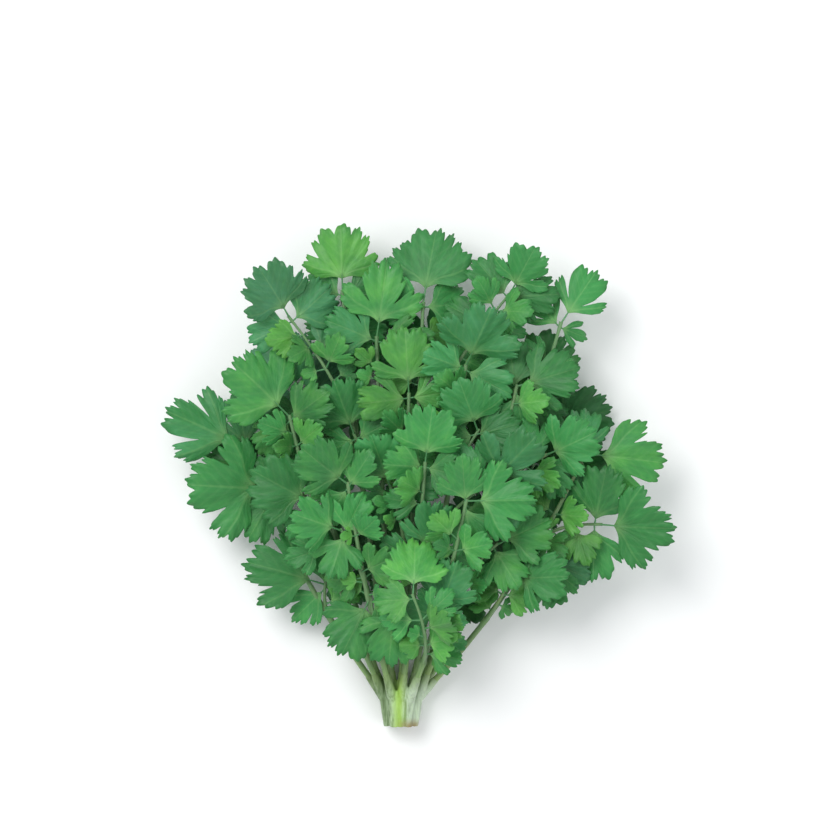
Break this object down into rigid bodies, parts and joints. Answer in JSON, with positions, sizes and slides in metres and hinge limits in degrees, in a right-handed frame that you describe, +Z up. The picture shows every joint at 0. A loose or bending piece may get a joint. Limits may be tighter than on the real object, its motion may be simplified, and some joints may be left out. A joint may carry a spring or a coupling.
{
  "type": "coriander bunch",
  "caption": "Fresh coriander bunch lying flat: a pale ribbed crown, thin stems fanning out of it, and toothed three-lobed leaflets along and at the end of each stem.",
  "frame": {"origin": "centre of the bounding box, on the surface that the bunch lies on", "axes": "+X to the right, +Y from the cut crown towards the leaves, +Z up, away from the surface; the pictured face looks up"},
  "size_m": [0.2552, 0.2514, 0.0697],
  "materials": {
    "foliage": "fresh leaf, half matt, with a soft waxy sheen; stems paler and greyer",
    "crown": "pale, moist stem bases, half matt"
  },
  "bodies": {
    "root": {"leafy_stem_01": "foliage", "leafy_stem_02": "foliage", "leafy_stem_03": "foliage", "leafy_stem_04": "foliage", "leafy_stem_05": "foliage", "leafy_stem_06": "foliage", "leafy_stem_07": "foliage", "leafy_stem_08": "foliage", "leafy_stem_09": "foliage", "leafy_stem_10": "foliage", "leafy_stem_11": "foliage", "leafy_stem_12": "foliage", "leafy_stem_13": "foliage", "leafy_stem_14": "foliage", "leafy_stem_15": "foliage", "leafy_stem_16": "foliage", "leafy_stem_17": "foliage", "leafy_stem_18": "foliage", "crown": "crown"}
  },
  "joints": []
}
